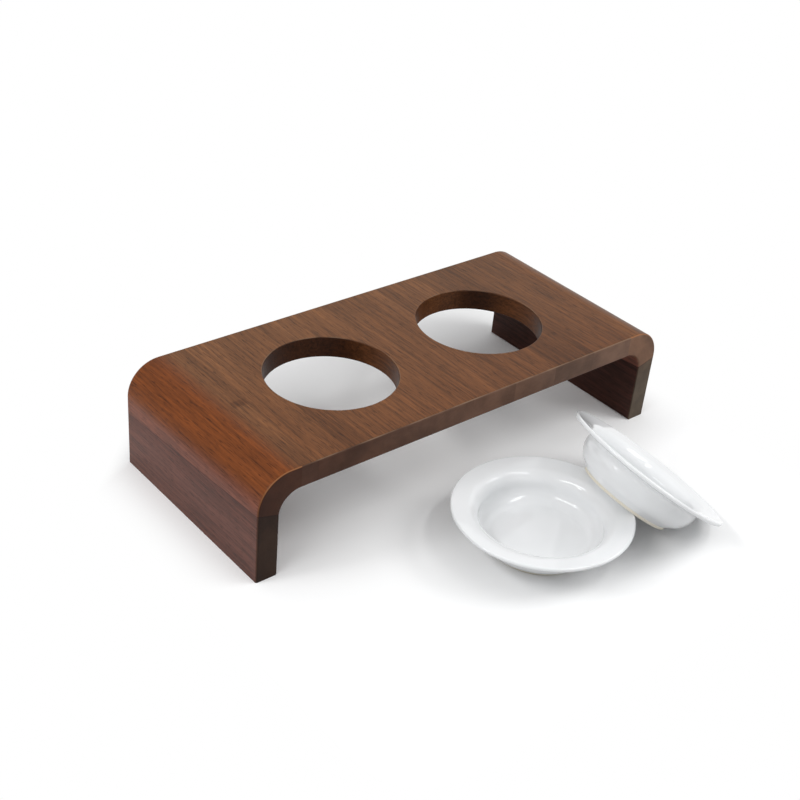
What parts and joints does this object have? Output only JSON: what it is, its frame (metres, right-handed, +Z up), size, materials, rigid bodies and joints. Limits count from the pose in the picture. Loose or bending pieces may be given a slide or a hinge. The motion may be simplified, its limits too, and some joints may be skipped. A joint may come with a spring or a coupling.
{
  "type": "double cat bowl",
  "caption": "Low curved-corner wooden stand with round holes for drop-in flanged ceramic bowls that feed a cat; the bowls are shown taken out, on the floor in front.",
  "frame": {"origin": "on the floor under the middle of the stand", "axes": "+X along the stand towards its right end, +Y from the front to the back, +Z up"},
  "size_m": [0.4, 0.3389, 0.0868],
  "materials": {
    "walnut_top": "satin",
    "walnut_corner": "satin",
    "walnut_leg": "satin",
    "beech_dowel": "matte",
    "white_glaze": "gloss"
  },
  "bodies": {
    "stand": {"top_stave_1_front": "walnut_top", "top_stave_1_back": "walnut_top", "top_stave_2": "walnut_top", "top_stave_3": "walnut_top", "top_stave_4_front": "walnut_top", "top_stave_4_back": "walnut_top", "top_stave_5": "walnut_top", "top_stave_6": "walnut_top", "top_stave_7_front": "walnut_top", "top_stave_7_back": "walnut_top", "top_stave_8_front": "walnut_top", "top_stave_8_back": "walnut_top", "top_stave_9": "walnut_top", "left_corner": "walnut_corner", "right_corner": "walnut_corner", "left_leg": "walnut_leg", "right_leg": "walnut_leg", "left_top_dowels": "beech_dowel", "right_top_dowels": "beech_dowel", "left_leg_dowels": "beech_dowel", "right_leg_dowels": "beech_dowel"},
    "flat_bowl_body": {"flat_bowl": "white_glaze"},
    "leaning_bowl_body": {"leaning_bowl": "white_glaze"}
  },
  "joints": [
    {"name": "leaning_bowl_lift", "type": "slide", "parent": "flat_bowl_body", "child": "leaning_bowl_body", "axis": [0, 0, 1], "range_m": [0, 0.15]},
    {"name": "flat_bowl_slide", "type": "slide", "parent": "stand", "child": "flat_bowl_body", "axis": [-1, 0, 0], "range_m": [0, 0.15]}
  ]
}
